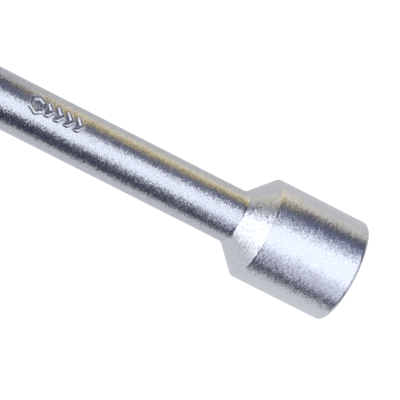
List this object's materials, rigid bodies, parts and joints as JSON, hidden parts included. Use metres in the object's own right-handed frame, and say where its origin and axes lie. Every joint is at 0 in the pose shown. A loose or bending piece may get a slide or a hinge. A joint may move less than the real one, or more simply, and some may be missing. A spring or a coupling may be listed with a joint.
{
  "type": "folding four-way lug wrench",
  "caption": "Folding cross-shaped wheel-nut wrench with four round-bar arms, each ending in a deep hexagonal socket, and a forged hub with two hinged arms.",
  "frame": {"origin": "the middle of the hub, which is the middle of the whole wrench's box", "axes": "+X along the fixed arms towards the 19 mm socket, +Y along the folding arms towards the 21 mm socket, +Z along the hinge pins towards their heads"},
  "size_m": [0.356, 0.332, 0.0356],
  "materials": {
    "satin_chrome": "satin chrome plate on turned and forged steel",
    "hub_chrome": "satin chrome plate on a shot-blasted forging",
    "zinc_plate": "bright zinc plate",
    "ball_steel": "polished hardened steel",
    "spring_steel": "phosphated spring steel",
    "bronze": "rolled bronze",
    "black_oxide": "black oxide"
  },
  "bodies": {
    "hub": {"hub_body": "hub_chrome", "fixed_arm_19": "satin_chrome", "fixed_arm_17": "satin_chrome", "roll_pin_19": "spring_steel", "roll_pin_17": "spring_steel", "hinge_pin_21": "zinc_plate", "hinge_pin_23": "zinc_plate", "retaining_ring_21": "spring_steel", "retaining_ring_23": "spring_steel", "upper_washer_21": "bronze", "upper_washer_23": "bronze", "lower_washer_21": "bronze", "lower_washer_23": "bronze", "plunger_shell_21": "black_oxide", "plunger_shell_23": "black_oxide", "detent_spring_21": "spring_steel", "detent_spring_23": "spring_steel"},
    "arm_21": {"folding_arm_21": "satin_chrome"},
    "arm_23": {"folding_arm_23": "satin_chrome"},
    "ball_21": {"detent_ball_21": "ball_steel"},
    "ball_23": {"detent_ball_23": "ball_steel"}
  },
  "joints": [
    {"name": "fold_21", "type": "hinge", "parent": "hub", "child": "arm_21", "pos_m": [0, 0.027, 0], "axis": [0, 0, -1], "range_deg": [0, 90]},
    {"name": "fold_23", "type": "hinge", "parent": "hub", "child": "arm_23", "pos_m": [0, -0.027, 0], "axis": [0, 0, -1], "range_deg": [0, 90]},
    {"name": "press_ball_21", "type": "slide", "parent": "hub", "child": "ball_21", "axis": [0, 0, 1], "range_m": [0, 0.0009], "stiffness_N_per_m": 2000, "springref_m": -0.002, "deforming": ["detent_spring_21"]},
    {"name": "press_ball_23", "type": "slide", "parent": "hub", "child": "ball_23", "axis": [0, 0, 1], "range_m": [0, 0.0009], "stiffness_N_per_m": 2000, "springref_m": -0.002, "deforming": ["detent_spring_23"]}
  ]
}
